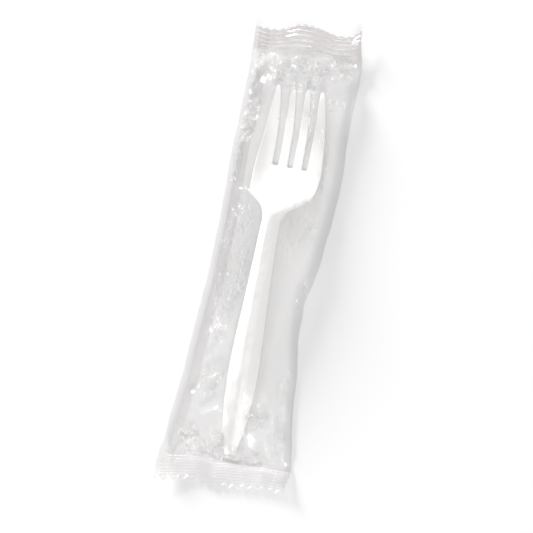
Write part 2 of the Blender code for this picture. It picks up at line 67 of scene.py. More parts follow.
# %%
# Write down the sizes of the fork and of the pack
FORK_LENGTH, TAIL_TAPER = 154.0, 33.0
TAIL_WIDTH, HANDLE_WIDTH, NECK_WIDTH, HEAD_WIDTH, TIP_SPAN = 5.6, 12.9, 8.0, 29.0, 20.6
Y_NECK, Y_SHOULDER, Y_WIDEST, Y_ROOT, Y_REST = 98.5, 109.0, 119.5, 121.5, 120.0
Y_CREST = 0.965 * Y_NECK
TAIL_CORNER = 1.6
SLOT_PITCH, SLOT_WIDTH, SLOT_CORNER, SLOT_FLARE, TINE_LENGTH = 6.35, 2.5, 0.8, 0.95, 32.5
WALL, EDGE_ROUND = 1.4, 0.35
HANDLE_CROWN, TAIL_CROWN, NECK_CROWN = 2.6, 0.7, 2.0
CROWN_FLAT, CROWN_FOOT = 0.18, 0.95
BOWL_DEPTH, TIP_DEPTH = 2.3, 0.5
NECK_RISE, WAIST_RISE, TIP_RISE = 11.3, 4.9, 8.2

BOTTOM_SEAL, TOP_SEAL = 10.0, 9.0
Y_TAIL = BOTTOM_SEAL + 3.4
Y_TIPS = Y_TAIL + FORK_LENGTH
Y_TOP_SEAL = Y_TIPS + 14.6
PACK_LENGTH = Y_TOP_SEAL + TOP_SEAL
FORK_OFFSET, FORK_TURN = 0.65, math.radians(-0.76)
FORK_BASE, FILM_OVER_FORK = 0.4, 0.7
LEFT_ROOM, RIGHT_ROOM, SEAL_SPREAD, WAIST_DRAW = 9.2, 7.2, 5.3, 4.8
FIN_WIDTH, FIN_INSET, FOLD_HEIGHT = 5.2, 1.0, 1.5
RIDGE_HALF, SPAN_SAG, TOP_CURL, CORNER_LIFT = 2.8, 0.9, 5.2, 1.3
GATHER_HEIGHT, GATHER_PITCH, BOTTOM_CURL = 1.4, 8.5, 1.8
LAYER = 0.12
print(f"pack {PACK_LENGTH:.1f} mm long, fork {FORK_LENGTH:.1f} mm long")

# %% [markdown]
# ## Two small tools
#
# `ramp` is a soft step. `through` draws a smooth curve through a few known places and never overshoots
# them, which is how a draughtsperson would use a flexible curve.


# %%
# Make the soft step and the smooth curve
def ramp(value, low, high):
    t = np.clip((np.asarray(value, float) - low) / (high - low), 0.0, 1.0)
    return t * t * (3 - 2 * t)


def between(low, high, share):
    return low + share * (high - low)


def through(knots, y):
    places, values = np.array(knots, float).T
    gaps = np.diff(places)
    slopes = np.diff(values) / gaps
    before, after = slopes[:-1], slopes[1:]
    same = before * after > 0
    inner = np.where(same, 2 * before * after / np.where(same, before + after, 1.0), 0.0)
    tangents = np.concatenate([[0.0], inner, [0.0]])
    y = np.clip(np.asarray(y, float), places[0], places[-1])
    i = np.clip(np.searchsorted(places, y) - 1, 0, len(gaps) - 1)
    t = (y - places[i]) / gaps[i]
    start = (1 + 2 * t) * (1 - t) ** 2 * values[i] + t * (1 - t) ** 2 * gaps[i] * tangents[i]
    end = t * t * (3 - 2 * t) * values[i + 1] + t * t * (t - 1) * gaps[i] * tangents[i + 1]
    return start + end


def half_width(y):
    tail, waist, neck, head = TAIL_WIDTH / 2, HANDLE_WIDTH / 2, NECK_WIDTH / 2, HEAD_WIDTH / 2
    body = [
        (0.0, tail),
        (0.26 * TAIL_TAPER, between(tail, waist, 0.40)),
        (0.65 * TAIL_TAPER, between(tail, waist, 0.86)),
        (TAIL_TAPER, waist),
        (between(TAIL_TAPER, Y_NECK, 0.5), between(waist, neck, 0.54)),
        (Y_NECK, neck),
        (between(Y_NECK, Y_SHOULDER, 0.45), between(neck, head, 0.18)),
        (between(Y_NECK, Y_SHOULDER, 0.8), between(neck, head, 0.62)),
        (Y_SHOULDER, between(neck, head, 0.88)),
        (Y_WIDEST, head),
    ]
    t = np.clip((np.asarray(y, float) - Y_WIDEST) / (FORK_LENGTH - Y_WIDEST), 0.0, 1.0)
    tines = between(head, TIP_SPAN / 2, t**1.35)
    return np.where(np.asarray(y) <= Y_WIDEST, through(body, y), tines)


def side_rise(y):
    knots = [
        (0.0, 0.0),
        (0.5 * TAIL_TAPER, 0.53 * WAIST_RISE),
        (TAIL_TAPER, WAIST_RISE),
        (between(TAIL_TAPER, Y_CREST, 0.22), between(WAIST_RISE, NECK_RISE, 0.27)),
        (between(TAIL_TAPER, Y_CREST, 0.71), between(WAIST_RISE, NECK_RISE, 0.77)),
        (Y_CREST, NECK_RISE),
        (Y_NECK, 0.99 * NECK_RISE),
        (between(Y_NECK, Y_SHOULDER, 0.62), 0.745 * NECK_RISE),
        (between(Y_SHOULDER, Y_REST, 0.36), between(BOWL_DEPTH, NECK_RISE, 0.18)),
        (Y_REST, BOWL_DEPTH),
        (between(Y_REST, FORK_LENGTH, 0.35), between(BOWL_DEPTH, TIP_RISE, 0.085)),
        (between(Y_REST, FORK_LENGTH, 0.7), between(BOWL_DEPTH, TIP_RISE, 0.49)),
        (FORK_LENGTH, TIP_RISE),
    ]
    return through(knots, y)


def crown_rise(y):
    knots = [
        (0.0, TAIL_CROWN),
        (0.5 * TAIL_TAPER, between(TAIL_CROWN, HANDLE_CROWN, 0.47)),
        (TAIL_TAPER, HANDLE_CROWN),
        (Y_CREST, NECK_CROWN),
        (between(Y_NECK, Y_SHOULDER, 0.24), 0.5 * NECK_CROWN),
        (between(Y_NECK, Y_SHOULDER, 0.62), -0.09 * BOWL_DEPTH),
        (Y_SHOULDER, -0.65 * BOWL_DEPTH),
        (between(Y_SHOULDER, Y_REST, 0.36), -0.96 * BOWL_DEPTH),
        (Y_REST, -BOWL_DEPTH),
        (between(Y_REST, FORK_LENGTH, 0.35), -0.91 * BOWL_DEPTH),
        (between(Y_REST, FORK_LENGTH, 0.7), -between(BOWL_DEPTH, TIP_DEPTH, 0.61)),
        (FORK_LENGTH, -TIP_DEPTH),
    ]
    return through(knots, y)


def fork_rise(x, y):
    share = np.clip(np.abs(x) / half_width(y), 0.0, 1.0)
    slope = np.clip((share - CROWN_FLAT) / (CROWN_FOOT - CROWN_FLAT), 0.0, 1.0)
    opening = ramp(y, Y_NECK, Y_SHOULDER)
    return side_rise(y) + crown_rise(y) * (1 - between(slope, share**2.4, opening))


print("fork's highest place, above the table:", round(float(fork_rise(0.0, Y_CREST)) + WALL, 2), "mm")

# %% [markdown]
# ## The fork
#
# The real fork is one moulding of white polypropylene with a wall of about 1.4 mm. Its handle is a long
# ridge, hollow underneath, with a narrow flat crown; the head is a shallow bowl. A sheet of that wall,
# cut to the outline with rounded edges and then pressed over a form, gives the same shape and keeps the
# wall even. The outline comes first: one side is drawn and the other is its mirror image.


# %%
# Draw the fork's outline
def slot_half(y):
    t = np.clip((np.asarray(y, float) - Y_ROOT) / TINE_LENGTH, 0.0, 1.0)
    return SLOT_WIDTH / 2 + SLOT_FLARE * t**3


def arc(centre_x, centre_y, radius, start, end, steps):
    turns = np.radians(np.linspace(start, end, steps + 1))
    return [(centre_x + radius * math.cos(a), centre_y + radius * math.sin(a)) for a in turns]


def fork_outline():
    right = arc(TAIL_WIDTH / 2 - TAIL_CORNER, TAIL_CORNER, TAIL_CORNER, -90, -10, 8)
    tip = float(half_width(FORK_LENGTH) - SLOT_PITCH - slot_half(FORK_LENGTH)) / 2
    up = list(np.linspace(2 * TAIL_CORNER, FORK_LENGTH - tip, 150))
    right += [(float(half_width(y)), y) for y in up]
    right += arc(float(half_width(FORK_LENGTH)) - tip, FORK_LENGTH - tip, tip, 20, 160, 8)
    down = list(np.linspace(FORK_LENGTH - tip, Y_ROOT + 1.5 * SLOT_CORNER, 30))
    right += [(SLOT_PITCH + float(slot_half(y)), y) for y in down]
    corner_x, corner_y = SLOT_WIDTH / 2 - SLOT_CORNER, Y_ROOT + SLOT_CORNER
    right += arc(SLOT_PITCH + corner_x, corner_y, SLOT_CORNER, -10, -90, 6)
    right += arc(SLOT_PITCH - corner_x, corner_y, SLOT_CORNER, -90, -170, 6)
    right += [(SLOT_PITCH - float(slot_half(y)), y) for y in reversed(down)]
    inner = (SLOT_PITCH - 2 * float(slot_half(FORK_LENGTH))) / 2
    right += arc(SLOT_PITCH / 2, FORK_LENGTH - tip, inner, 20, 160, 8)
    right += [(float(slot_half(y)), y) for y in down]
    right += arc(corner_x, corner_y, SLOT_CORNER, -10, -90, 6)
    return right + [(-x, y) for x, y in reversed(right)]


outline = fork_outline()
print("points in the fork's outline:", len(outline))

# %% [markdown]
# The flat plate is cut into narrow strips both ways, so that it bends smoothly, and every point is then
# lifted by the form's height at its place.


# %%
# Cut the plate and press it into its form
def flat_plate(points, thickness, edge):
    curve = bpy.data.curves.new("fork_outline", "CURVE")
    curve.dimensions = "2D"
    curve.fill_mode = "BOTH"
    curve.extrude = thickness / 2 - edge
    curve.bevel_depth = edge
    curve.bevel_resolution = 2
    curve.offset = -edge
    spline = curve.splines.new("POLY")
    spline.points.add(len(points) - 1)
    for point, (x, y) in zip(spline.points, points):
        point.co = (x, y, 0, 1)
    spline.use_cyclic_u = True
    guide = bpy.data.objects.new("fork_outline", curve)
    bpy.context.scene.collection.objects.link(guide)
    mesh = bpy.data.meshes.new_from_object(guide.evaluated_get(bpy.context.evaluated_depsgraph_get()))
    bm = bmesh.new()
    bm.from_mesh(mesh)
    bmesh.ops.remove_doubles(bm, verts=bm.verts, dist=1e-3)
    level = [f for f in bm.faces if abs(f.normal.z) > 0.999]
    inner = {e for f in level for e in f.edges if all(g in level for g in e.link_faces)}
    bmesh.ops.dissolve_edges(bm, edges=list(inner), use_verts=False)
    bpy.data.objects.remove(guide)
    return bm


plate = flat_plate(outline, WALL, EDGE_ROUND)
for y in np.arange(1.5, FORK_LENGTH, 1.5):
    every = list(plate.verts) + list(plate.edges) + list(plate.faces)
    bmesh.ops.bisect_plane(plate, geom=every, dist=1e-3, plane_co=(0, y, 0), plane_no=(0, 1, 0))
for x in np.arange(-14.0, 14.1, 0.7):
    every = list(plate.verts) + list(plate.edges) + list(plate.faces)
    bmesh.ops.bisect_plane(plate, geom=every, dist=1e-3, plane_co=(x, 0, 0), plane_no=(1, 0, 0))
flat = np.array([v.co[:] for v in plate.verts])
lifted = flat[:, 2] + WALL / 2 + fork_rise(flat[:, 0], flat[:, 1]) + FORK_BASE
for vert, z in zip(plate.verts, lifted):
    vert.co.z = float(z)
bmesh.ops.triangulate(plate, faces=plate.faces)
bmesh.ops.recalc_face_normals(plate, faces=plate.faces)
turn = Matrix.Translation((FORK_OFFSET, Y_TAIL, 0)) @ Matrix.Rotation(FORK_TURN, 4, "Z")
bmesh.ops.transform(plate, matrix=turn, verts=plate.verts)
fork_places = np.array([v.co[:] for v in plate.verts])
fork_low, fork_high = fork_places.min(axis=0), fork_places.max(axis=0)
cad_low, cad_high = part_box("fork")
shift = [(cad_low[i] + cad_high[i]) * 500 - (fork_low[i] + fork_high[i]) / 2 for i in range(2)]
ORIGIN = np.array(shift + [0])
bmesh.ops.transform(plate, matrix=Matrix.Scale(0.001, 4) @ Matrix.Translation(ORIGIN), verts=plate.verts)
fork_mesh = bpy.data.meshes.new("white_fork")
plate.to_mesh(fork_mesh)
plate.free()
fork_mesh.shade_smooth()
fork_mesh.set_sharp_from_angle(angle=math.radians(40))
fork = bpy.data.objects.new("white_fork", fork_mesh)
bpy.context.scene.collection.objects.link(fork)
print("triangles in the fork:", len(fork_mesh.polygons))
print("shift from the script's frame to the part's, mm:", ORIGIN.round(3))

# %% [markdown]
# ## The plain form of the film
#
# The pack is one sheet. It lies flat under the fork, turns up at the two side folds and is stretched
# over the fork like a tent: up on the handle's ridge, free between the neck and the tips of the tines,
# and down to the folds on both sides. Behind the left fold its two edges meet in a fin seal that lies
# flat. At both ends all layers are pressed together.


# %%
# Place the side folds and find the tent's height
def fork_middle(y):
    return FORK_OFFSET - math.tan(FORK_TURN) * (np.asarray(y, float) - Y_TAIL)


def sway(y, seed, size):
    chance = np.random.default_rng(seed)
    total = np.zeros_like(np.asarray(y, float))
    for wave in (37.0, 21.0, 13.0, 7.5, 4.2):
        total = total + size * (wave / 37.0) ** 0.7 * np.sin(2 * math.pi * (y / wave + chance.random()))
    return total


def left_fold(y):
    reach = HEAD_WIDTH / 2 + LEFT_ROOM
    knots = [
        (0.0, reach + 0.9 * SEAL_SPREAD),
        (BOTTOM_SEAL, reach + SEAL_SPREAD),
        (0.16 * PACK_LENGTH, reach + 0.6 * SEAL_SPREAD),
        (0.31 * PACK_LENGTH, reach + 0.25 * SEAL_SPREAD),
        (0.52 * PACK_LENGTH, reach - 0.1 * SEAL_SPREAD),
        (0.74 * PACK_LENGTH, reach),
        (PACK_LENGTH, reach - 0.15 * SEAL_SPREAD),
    ]
    return -through(knots, y) + sway(y, 3, 0.11)


def right_fold(y):
    reach = HEAD_WIDTH / 2 + float(fork_middle(Y_TIPS)) + RIGHT_ROOM
    knots = [
        (0.0, reach + 0.6 * SEAL_SPREAD),
        (BOTTOM_SEAL, reach + 0.6 * SEAL_SPREAD),
        (0.16 * PACK_LENGTH, reach),
        (0.26 * PACK_LENGTH, reach - 0.45 * WAIST_DRAW),
        (0.36 * PACK_LENGTH, reach - 0.98 * WAIST_DRAW),
        (0.42 * PACK_LENGTH, reach - 1.02 * WAIST_DRAW),
        (0.47 * PACK_LENGTH, reach - 0.67 * WAIST_DRAW),
        (0.53 * PACK_LENGTH, reach - 0.3 * WAIST_DRAW),
        (0.7 * PACK_LENGTH, reach + 0.06 * WAIST_DRAW),
        (0.84 * PACK_LENGTH, reach - 0.18 * WAIST_DRAW),
        (0.94 * PACK_LENGTH, reach),
        (PACK_LENGTH, reach - 0.45 * WAIST_DRAW),
    ]
    return through(knots, y) + sway(y, 5, 0.13)


def seal_share(y):
    bottom = 1 - ramp(y, BOTTOM_SEAL, BOTTOM_SEAL + 4.5)
    return np.maximum(bottom, ramp(y, Y_TOP_SEAL - 2.5, Y_TOP_SEAL))


def drape_height(y):
    def over(y_fork):
        return FORK_BASE + side_rise(y_fork) + np.maximum(crown_rise(y_fork), 0) + WALL + FILM_OVER_FORK

    local = np.asarray(y, float) - Y_TAIL
    share = np.clip((local - Y_CREST) / (FORK_LENGTH - Y_CREST), 0.0, 1.0)
    span = between(over(Y_CREST), over(FORK_LENGTH), share) - 4 * SPAN_SAG * share * (1 - share)
    at_tail = over(0.0) * np.clip((y - BOTTOM_SEAL) / (Y_TAIL - BOTTOM_SEAL), 0.0, 1.0)
    at_tips = over(FORK_LENGTH) * np.clip((Y_TOP_SEAL - y) / (Y_TOP_SEAL - Y_TIPS), 0.0, 1.0) ** 1.2
    height = np.where(local <= Y_CREST, over(local), span)
    return np.where(local <= 0, at_tail, np.where(local >= FORK_LENGTH, at_tips, height))


def shelf_half(y):
    local = np.asarray(y, float) - Y_TAIL
    head = np.clip((local - Y_CREST) / (FORK_LENGTH - Y_CREST), 0.0, 1.0)
    return RIDGE_HALF * ramp(local, Y_TAIL - BOTTOM_SEAL - 6.8, 0.0) + (TIP_SPAN / 2 - RIDGE_HALF) * head


def edge_height(y):
    return between(FOLD_HEIGHT, 3 * LAYER, seal_share(y))


def tent_height(x, y):
    local = np.clip(y - Y_TAIL, 0.0, FORK_LENGTH)
    edge, middle, shelf = edge_height(y), fork_middle(y), shelf_half(y)
    reach = np.maximum(half_width(local) + 0.7, shelf + 1.4)
    side = np.minimum(FORK_BASE + side_rise(local) + WALL + FILM_OVER_FORK, drape_height(y))
    width = np.abs(np.where(x > middle, right_fold(y), left_fold(y)) - middle)
    away = np.abs(x - middle)
    share = np.clip((away - shelf) / (width - shelf), 0.0, 1.0)
    beyond = np.clip((away - reach) / (width - reach), 0.0, 1.0)
    top = np.maximum(drape_height(y) - edge, 0.0) * (1 - share) ** 1.1
    return edge + np.maximum(top, np.maximum(side - edge, 0.0) * (1 - beyond) ** 1.1)


print("film's highest place:", round(float(drape_height(Y_TAIL + Y_CREST)), 2), "mm above the table")

# %% [markdown]
# ## Creases, pleats and crinkles
#
# Film doesn't stretch, so where it is pushed it buckles into straight sharp folds that stay in it. Each
# one is drawn as a short ridge or valley: sharp along its line, with one side often wider than the
# other. The large ones are set one by one where the photograph shows them. Pleats run from the end seals
# into the pouch. Small ones crowd in patches, as they do where the pack was squeezed.

# %%
# List the large folds, as in the CAD: start, end, height and width
LARGE_FOLDS = [
    (-16.8, 35.5, -9.8, 46.5, 2, 3.2),
    (-20, 36.5, -15.8, 27.5, 1, 2.8),
    (-15, 26.8, -4.8, 32, 1.4, 2.8),
    (-22, 10.5, -13.3, 17, 1.2, 3),
    (-19, 61, -8, 64, 1.4, 3),
    (-17, 49, -12, 58, -0.9, 2.8),
    (6, 25, 13.5, 28.5, 1.2, 2.8),
    (6.5, 30.5, 15, 36, 1.3, 2.8),
    (13, 43, 24.5, 11, 1.2, 3.4),
    (16, 88, 20, 71, 1, 3),
    (-10.5, 166, -6.2, 180, 1.6, 3),
    (4.8, 167, 4.2, 179, 1.6, 3),
    (7, 180, 20.5, 188, 1.2, 3),
    (-20.5, 141, -15.5, 158, 1.2, 3),
    (-21.5, 164, -16, 177, 1.2, 3),
    (13.5, 165, 20.5, 176, 1.2, 3.2),
    (17, 110, 19.5, 130, 0.8, 3.2),
    (-19, 84, -16.5, 116, 0.8, 3.2),
]


def gather_height(x, y):
    """Broad gathers that run into the end seals, where the tube is pressed flat."""
    bottom = 0.6 * (1 - ramp(y, BOTTOM_SEAL, BOTTOM_SEAL + 22))
    top = ramp(y, Y_TOP_SEAL - 26, Y_TOP_SEAL)
    return GATHER_HEIGHT * (bottom + top) * (0.5 + 0.5 * np.sin(2 * math.pi * x / GATHER_PITCH + 0.12 * y))


def fold_room(x, y):
    """1 where the film hangs free and can fold, 0 at the side folds and on the fork."""
    middle, shelf = fork_middle(y), shelf_half(y)
    width = np.abs(np.where(x > middle, right_fold(y), left_fold(y)) - middle)
    share = np.clip((np.abs(x - middle) - shelf) / (width - shelf), 0.0, 1.0)
    past_fork = np.maximum(ramp(y, Y_TIPS, Y_TIPS + 4), 1 - ramp(y, BOTTOM_SEAL, Y_TAIL))
    return np.minimum(3 * (1 - share), 1.0) * np.maximum(ramp(share, 0.0, 0.12), past_fork)


print("large folds:", len(LARGE_FOLDS))

# %% [markdown]
# The sharp creases stand in a second list. They are narrower than the large folds and catch the light.
# Where the pack was squeezed there are too many small ones to place by hand, so only their patches are
# listed.

# %%
# List the sharp creases: start, end, height, width and how much wider the other side is
CREASES = [
    (-16.5, 36, -9.5, 46, 0.5, 1.2, 2.0),
    (-20.0, 36, -8.3, 47, -0.4, 1.0, 2.0),
    (-20.0, 36, -15.6, 28, 0.4, 1.0, 2.5),
    (-14.3, 27, -4.5, 32, 0.5, 1.0, 2.0),
    (-22.0, 10, -13.7, 16, 0.5, 1.2, 1.5),
    (-20.0, 14, -13.6, 23, 0.4, 1.2, 2.0),
    (-15.8, 61.5, -8.9, 64, 0.5, 1.2, 2.5),
    (-8.9, 64, -4.5, 60, 0.4, 1.2, 2.0),
    (-16.4, 49, -13.0, 53, 0.5, 1.1, 2.0),
    (-15.3, 55, -11.6, 59, -0.4, 1.1, 2.0),
    (6.8, 25, 13.5, 28, 0.5, 1.0, 2.0),
    (6.9, 30, 15.0, 35.5, 0.5, 1.0, 2.0),
    (13.8, 42, 16.8, 32, 0.4, 1.6, 1.5),
    (16.8, 32, 25.6, 11, 0.4, 1.8, 1.5),
    (16.7, 86, 19.1, 76, 0.4, 1.1, 2.0),
    (19.1, 76, 20.1, 72, 0.4, 1.0, 2.0),
    (-9.8, 170, -6.3, 178, 0.5, 1.0, 2.5),
    (-11.9, 168, -8.0, 170, 0.5, 1.0, 2.0),
    (5.3, 168, 4.1, 178, 0.5, 1.1, 2.0),
    (4.1, 178, 9.2, 184, 0.6, 1.3, 2.0),
    (9.2, 184, 21.8, 190, 0.6, 1.3, 2.0),
    (-19.6, 146, -16.0, 151, 0.5, 0.9, 1.5),
    (-19.6, 146, -22.0, 151, 0.4, 0.9, 1.5),
    (-19.6, 146, -20.5, 139, 0.4, 0.9, 1.5),
    (-2.2, 155, 7.1, 155, 0.22, 0.7, 1.5),
    (13.7, 112, 20.6, 112.5, 0.35, 0.8, 2.0),
    (13.0, 115, 18.0, 114.2, 0.3, 0.8, 2.0),
]
# Patches of fine straight crinkles: centre, half sizes, how many, longest, heading and its spread
PATCHES = [
    (-18.8, 148, 3.6, 6, 60, 6, 40, 35),
    (-17.5, 157, 3.8, 5, 44, 7, 35, 25),
    (-20, 168, 2.2, 4.5, 20, 4, 60, 60),
    (-17, 177, 4, 3.5, 26, 4.5, 20, 60),
    (-20.5, 133, 1.8, 8, 16, 4, 70, 50),
    (-13.5, 122, 2, 2.5, 5, 3.5, 0, 90),
    (-8.5, 174, 3, 6, 20, 8, 55, 15),
    (0, 178, 9, 3.5, 34, 5, 10, 70),
    (7, 174, 4, 6.5, 28, 6, 60, 25),
    (15, 178, 6, 5, 34, 6, 40, 60),
    (2, 168, 7, 1.6, 16, 4, 25, 40),
    (-2.2, 153, 1.6, 1.8, 9, 2.6, 30, 40),
    (8.5, 158, 1, 6, 12, 1.6, 20, 40),
    (17.5, 163, 3, 3, 10, 3.5, 20, 40),
    (-17.5, 17, 3.6, 6, 26, 6, 120, 50),
    (-5.5, 18, 3, 3.5, 14, 4, 50, 40),
    (-12.5, 41, 4, 6.5, 16, 5, 60, 30),
    (-9, 44, 2, 5, 10, 3, 0, 20),
    (10, 30, 4.5, 5, 18, 4.5, 25, 50),
    (18.4, 45, 1.8, 6, 9, 3, 60, 50),
    (19.5, 24, 3, 9, 12, 7, 105, 20),
    (18.5, 84, 1.6, 6, 10, 3, 90, 50),
    (17, 113, 3.5, 2.5, 7, 6, 0, 12),
    (-13, 62, 4, 3, 12, 5, 20, 40),
    (-12, 92, 8, 30, 16, 12, 80, 20),
    (13, 125, 7, 34, 14, 12, 85, 20),
    (0, 14, 18, 3, 26, 4, 90, 40),
]
print("sharp creases:", len(CREASES))

# %% [markdown]
# The small crinkles are scattered at random over their patches, and the pleats along both seals. A
# fixed seed starts the random numbers, so that the pack comes out the same every time.

# %%
# Scatter the crinkles and the pleats
chance = np.random.default_rng(11)
small = []
for cx, cy, rx, ry, count, longest, heading, spread in PATCHES:
    for _ in range(count):
        radius, angle = math.sqrt(chance.random()), chance.uniform(0, 2 * math.pi)
        x, y = cx + rx * radius * math.cos(angle), cy + ry * radius * math.sin(angle)
        length = longest * chance.uniform(0.35, 1.0)
        turned = math.radians(heading + spread * chance.uniform(-1, 1))
        dx, dy = 0.5 * length * math.cos(turned), 0.5 * length * math.sin(turned)
        wide = chance.uniform(0.3, 0.6) + 0.03 * length
        tall = wide * chance.uniform(0.3, 0.8) * (1 if chance.random() < 0.5 else -1)
        small.append((x - dx, y - dy, x + dx, y + dy, tall, wide, chance.uniform(1.0, 2.5)))
pleats = []
for seal, side in ((BOTTOM_SEAL, 1), (Y_TOP_SEAL, -1)):
    x = -21.0
    while x < 22.0:
        length, lean = chance.uniform(5.0, 17.0), chance.uniform(-0.35, 0.35)
        tall, wide = chance.uniform(-0.35, 0.45), chance.uniform(0.6, 1.3)
        end = seal + side * length
        pleats.append((x, seal - side * 2.0, x + lean * length, end, tall, wide, chance.uniform(1.0, 2.5)))
        x += chance.uniform(1.8, 4.6)
print("pleats:", len(pleats), "crinkles:", len(small))

# %% [markdown]
# ## The sheet as a mesh
#
# A cloth simulation could fold the sheet, but its creases couldn't be placed where the photograph shows
# them. Here the sheet is followed round the pack, row by row: under the fork, round the right fold, back
# over the fork, round the left fold, behind it to the fin's root, and back along the fin. Rows are a
# quarter of a millimetre apart in the seals, to carry the crimp, and half a millimetre in the pouch.

# %%
# Lay out the rows and the columns
UPPER, LOWER, BEND, BACK = 140, 28, 6, 8
SEAL_STEP, POUCH_ROWS = 0.25, 355
v = np.concatenate(
    [
        np.arange(0, BOTTOM_SEAL + 2, SEAL_STEP),
        np.linspace(BOTTOM_SEAL + 2, Y_TOP_SEAL - 2, POUCH_ROWS)[:-1],
        np.arange(Y_TOP_SEAL - 2, PACK_LENGTH + 0.01, SEAL_STEP),
    ]
)
print("rows:", len(v), "columns over the fork:", UPPER, "and under it:", LOWER)

# %% [markdown]
# The knife that cuts the packs apart has a zigzag edge. The rows near both ends are moved along the
# pack until the outermost one lies on the cut. That keeps one clean grid, where a cutter would leave
# ragged faces. Both cuts are a little bowed. The teeth are clear at the bottom, and smaller and uneven
# at the top.


# %%
# Shape the two cut edges
BOTTOM_TEETH, TOP_TEETH, TOOTH_DEPTH, TOP_TOOTH_DEPTH = 14, 17, 1.7, 0.7
BOTTOM_BOW = [(-27, -2.0), (-12, 1.0), (-5, -0.4), (0, 0.5), (9, 1.8), (16, 2.9), (27, 3.3)]
TOP_BOW = [(-23, -1), (-15, -1), (-2, 3), (6, 2), (13, 0.5), (18, 1), (22.3, 4), (24, 3)]


def zigzag(turns):
    return np.abs((turns % 1.0) - 0.5) * 2 - 0.5


def cut_shift(x, rows, share):
    """How far the sheet's Y is moved near both ends, so that its rows end on the zigzag cuts."""
    bottom, top = through(BOTTOM_BOW, x), through(TOP_BOW, x)
    tooth = TOOTH_DEPTH * zigzag(share * BOTTOM_TEETH)
    small_tooth = TOP_TOOTH_DEPTH * zigzag(share * TOP_TEETH + 0.25 * np.sin(share * 19.0))
    low = bottom * (1 - ramp(rows, 0, BOTTOM_SEAL + 12)) - tooth * (1 - ramp(rows, 0, 1.5))
    high = top * ramp(rows, Y_TOP_SEAL - 8, PACK_LENGTH)
    return low + high + small_tooth * ramp(rows, PACK_LENGTH - 1.3, PACK_LENGTH)


print("teeth:", BOTTOM_TEETH, "at the bottom and", TOP_TEETH, "at the top")

# %% [markdown]
# Three tools shape the film's surface. `ripples` adds a few slow waves, for the film is never quite
# flat. `crease_field` adds up all creases and also tells how sharp each place is, because sharply bent
# film turns whiter. `patch_share` marks the crumpled patches, whose finest crinkles are left to a bump.


# %%
# Make the ripples, the creases and the patches
def ripples(x, y, seed, size, wave, count=7):
    chance = np.random.default_rng(seed)
    total = np.zeros(np.broadcast(x, y).shape)
    for _ in range(count):
        angle, length = chance.uniform(0, math.pi), wave * chance.uniform(0.6, 1.6)
        phase = chance.uniform(0, 2 * math.pi)
        place = (x * math.cos(angle) + y * math.sin(angle)) / length
        total = total + np.sin(2 * math.pi * place + phase)
    return size * total / math.sqrt(count)


def crease_field(x, y, creases):
    """The creases' summed height and sharpness at the grid's places; a crease touches only rows near it."""
    total, sharp = np.zeros_like(x), np.zeros_like(x)
    for x0, y0, x1, y1, tall, wide, other in creases:
        margin = wide * other + 5
        rows = np.flatnonzero((v > min(y0, y1) - margin) & (v < max(y0, y1) + margin))
        band = slice(rows[0], rows[-1] + 1)
        length = math.hypot(x1 - x0, y1 - y0)
        ux, uy = (x1 - x0) / length, (y1 - y0) / length
        px, py = x[band] - x0, y[band] - y0
        along = np.clip((px * ux + py * uy) / length, 0.0, 1.0)
        side = px * uy - py * ux
        away = np.hypot(px - along * length * ux, py - along * length * uy)
        away = away / (wide * np.where(side > 0, 1.0, other))
        near = np.clip(1 - away, 0, 1) * (1 - (2 * along - 1) ** 4)
        total[band] += tall * near**1.1
        sharp[band] += min(abs(tall) / wide, 0.7) * near**2
    return total, sharp


def patch_share(x, y):
    """1 inside the crinkled patches, falling off to 0 a little outside them."""
    share = np.zeros_like(x)
    for cx, cy, rx, ry, count, *_ in PATCHES:
        away = np.hypot((x - cx) / (rx + 1), (y - cy) / (ry + 1))
        share = np.maximum(share, min(count / 16, 1.0) * (1 - ramp(away, 0.6, 1.15)))
    return share


print("crinkled patches:", len(PATCHES))

# %% [markdown]
# The seals are where all layers lie together. Hot ribbed jaws press them, which leaves parallel ridges
# that run across the pack and are whiter along their crests. Both seals also curl up off the table as
# they cool, the top one most, and that gives the pack its shadow at the ends.


# %%
# Lift and crimp the end seals
TOP_CRIMP, TOP_PITCH = 0.62, 1.75
BOTTOM_CRIMP, BOTTOM_PITCH, BOTTOM_WHITE = 0.20, 1.25, 0.14


def carrier(x, y):
    """How far all the layers together are lifted off the table: curled and wavy end seals."""
    side = x / (HEAD_WIDTH / 2 + LEFT_ROOM)
    curl = TOP_CURL * ramp(y, Y_TOP_SEAL - 14, PACK_LENGTH + 6)
    wave = 0.7 * (1 + np.sin(5.2 * side + 0.6)) * ramp(y, Y_TOP_SEAL - 8, PACK_LENGTH)
    corners = CORNER_LIFT * np.abs(side) ** 3 * (1 - ramp(y, 0, BOTTOM_SEAL + 8))
    ripple = 0.28 * (1 + np.sin(4.1 * side - 0.8)) * (1 - ramp(y, 0, BOTTOM_SEAL + 5))
    crumple = ripples(x, y, 21, 0.14, 9.0) * ramp(y, Y_TOP_SEAL - 3, PACK_LENGTH - 3)
    rise = BOTTOM_CURL * (1 - ramp(y, -4, BOTTOM_SEAL + 6))
    return np.maximum(curl + wave + corners + ripple + crumple + rise, 0.0)


def ridges(rows, pitch):
    """1 on every ridge and 0 halfway between two of them."""
    return np.abs((rows / pitch) % 1.0 - 0.5) * 2


def in_bottom_seal(rows):
    return 1 - ramp(rows, BOTTOM_SEAL - 1, BOTTOM_SEAL)


def in_top_seal(rows):
    return ramp(rows, Y_TOP_SEAL, Y_TOP_SEAL + 1)


def wobble(x, rows):
    """The top seal's ridges aren't quite straight."""
    return ripples(x, 0 * rows, 33, 0.35, 24.0) * ramp(rows, Y_TOP_SEAL - 3, Y_TOP_SEAL)


